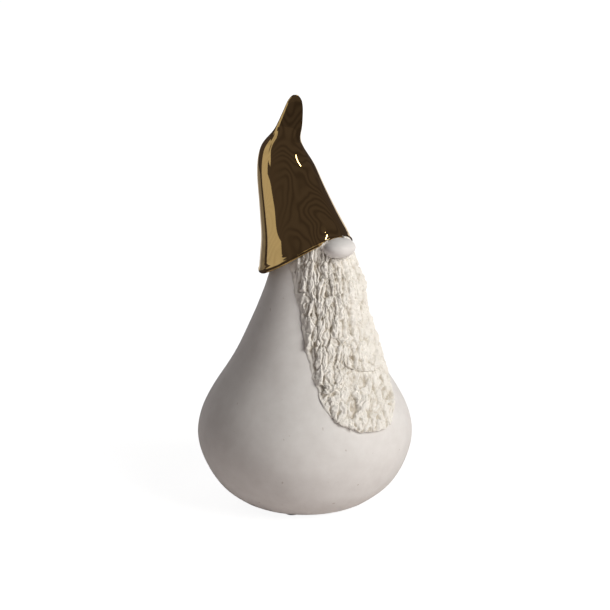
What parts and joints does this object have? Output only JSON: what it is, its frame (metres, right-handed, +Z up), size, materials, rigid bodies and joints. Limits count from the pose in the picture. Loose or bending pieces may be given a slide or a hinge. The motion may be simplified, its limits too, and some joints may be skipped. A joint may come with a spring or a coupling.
{
  "type": "garden gnome",
  "caption": "Onion-shaped hollow ceramic gnome ornament with a textured clay beard, a round nose and a leaning gold-lustre hat that lifts off along its lean.",
  "frame": {"origin": "middle of the foot, on the surface the ornament stands on", "axes": "+Z up, the face and nose look along -Y, +X is the gnome's left-hand side"},
  "size_m": [0.1308, 0.1308, 0.2484],
  "materials": {
    "body_bisque": "matte unglazed, hand smoothed",
    "nose_bisque": "matte unglazed, burnished",
    "beard_bisque": "matte unglazed, tooled in long strokes",
    "hat_lustre": "mirror gold lustre over glaze",
    "pad": "clear silicone"
  },
  "bodies": {
    "figure": {"body_shell": "body_bisque", "nose": "nose_bisque", "beard_left_lock": "beard_bisque", "beard_right_lock": "beard_bisque", "beard_tip": "beard_bisque", "foot_pad_1": "pad", "foot_pad_2": "pad", "foot_pad_3": "pad"},
    "hat": {"hat_shell": "hat_lustre"}
  },
  "joints": [
    {"name": "hat_lift", "type": "slide", "parent": "figure", "child": "hat", "axis": [0, 0.3552, 0.9348], "range_m": [0, 0.078]}
  ]
}
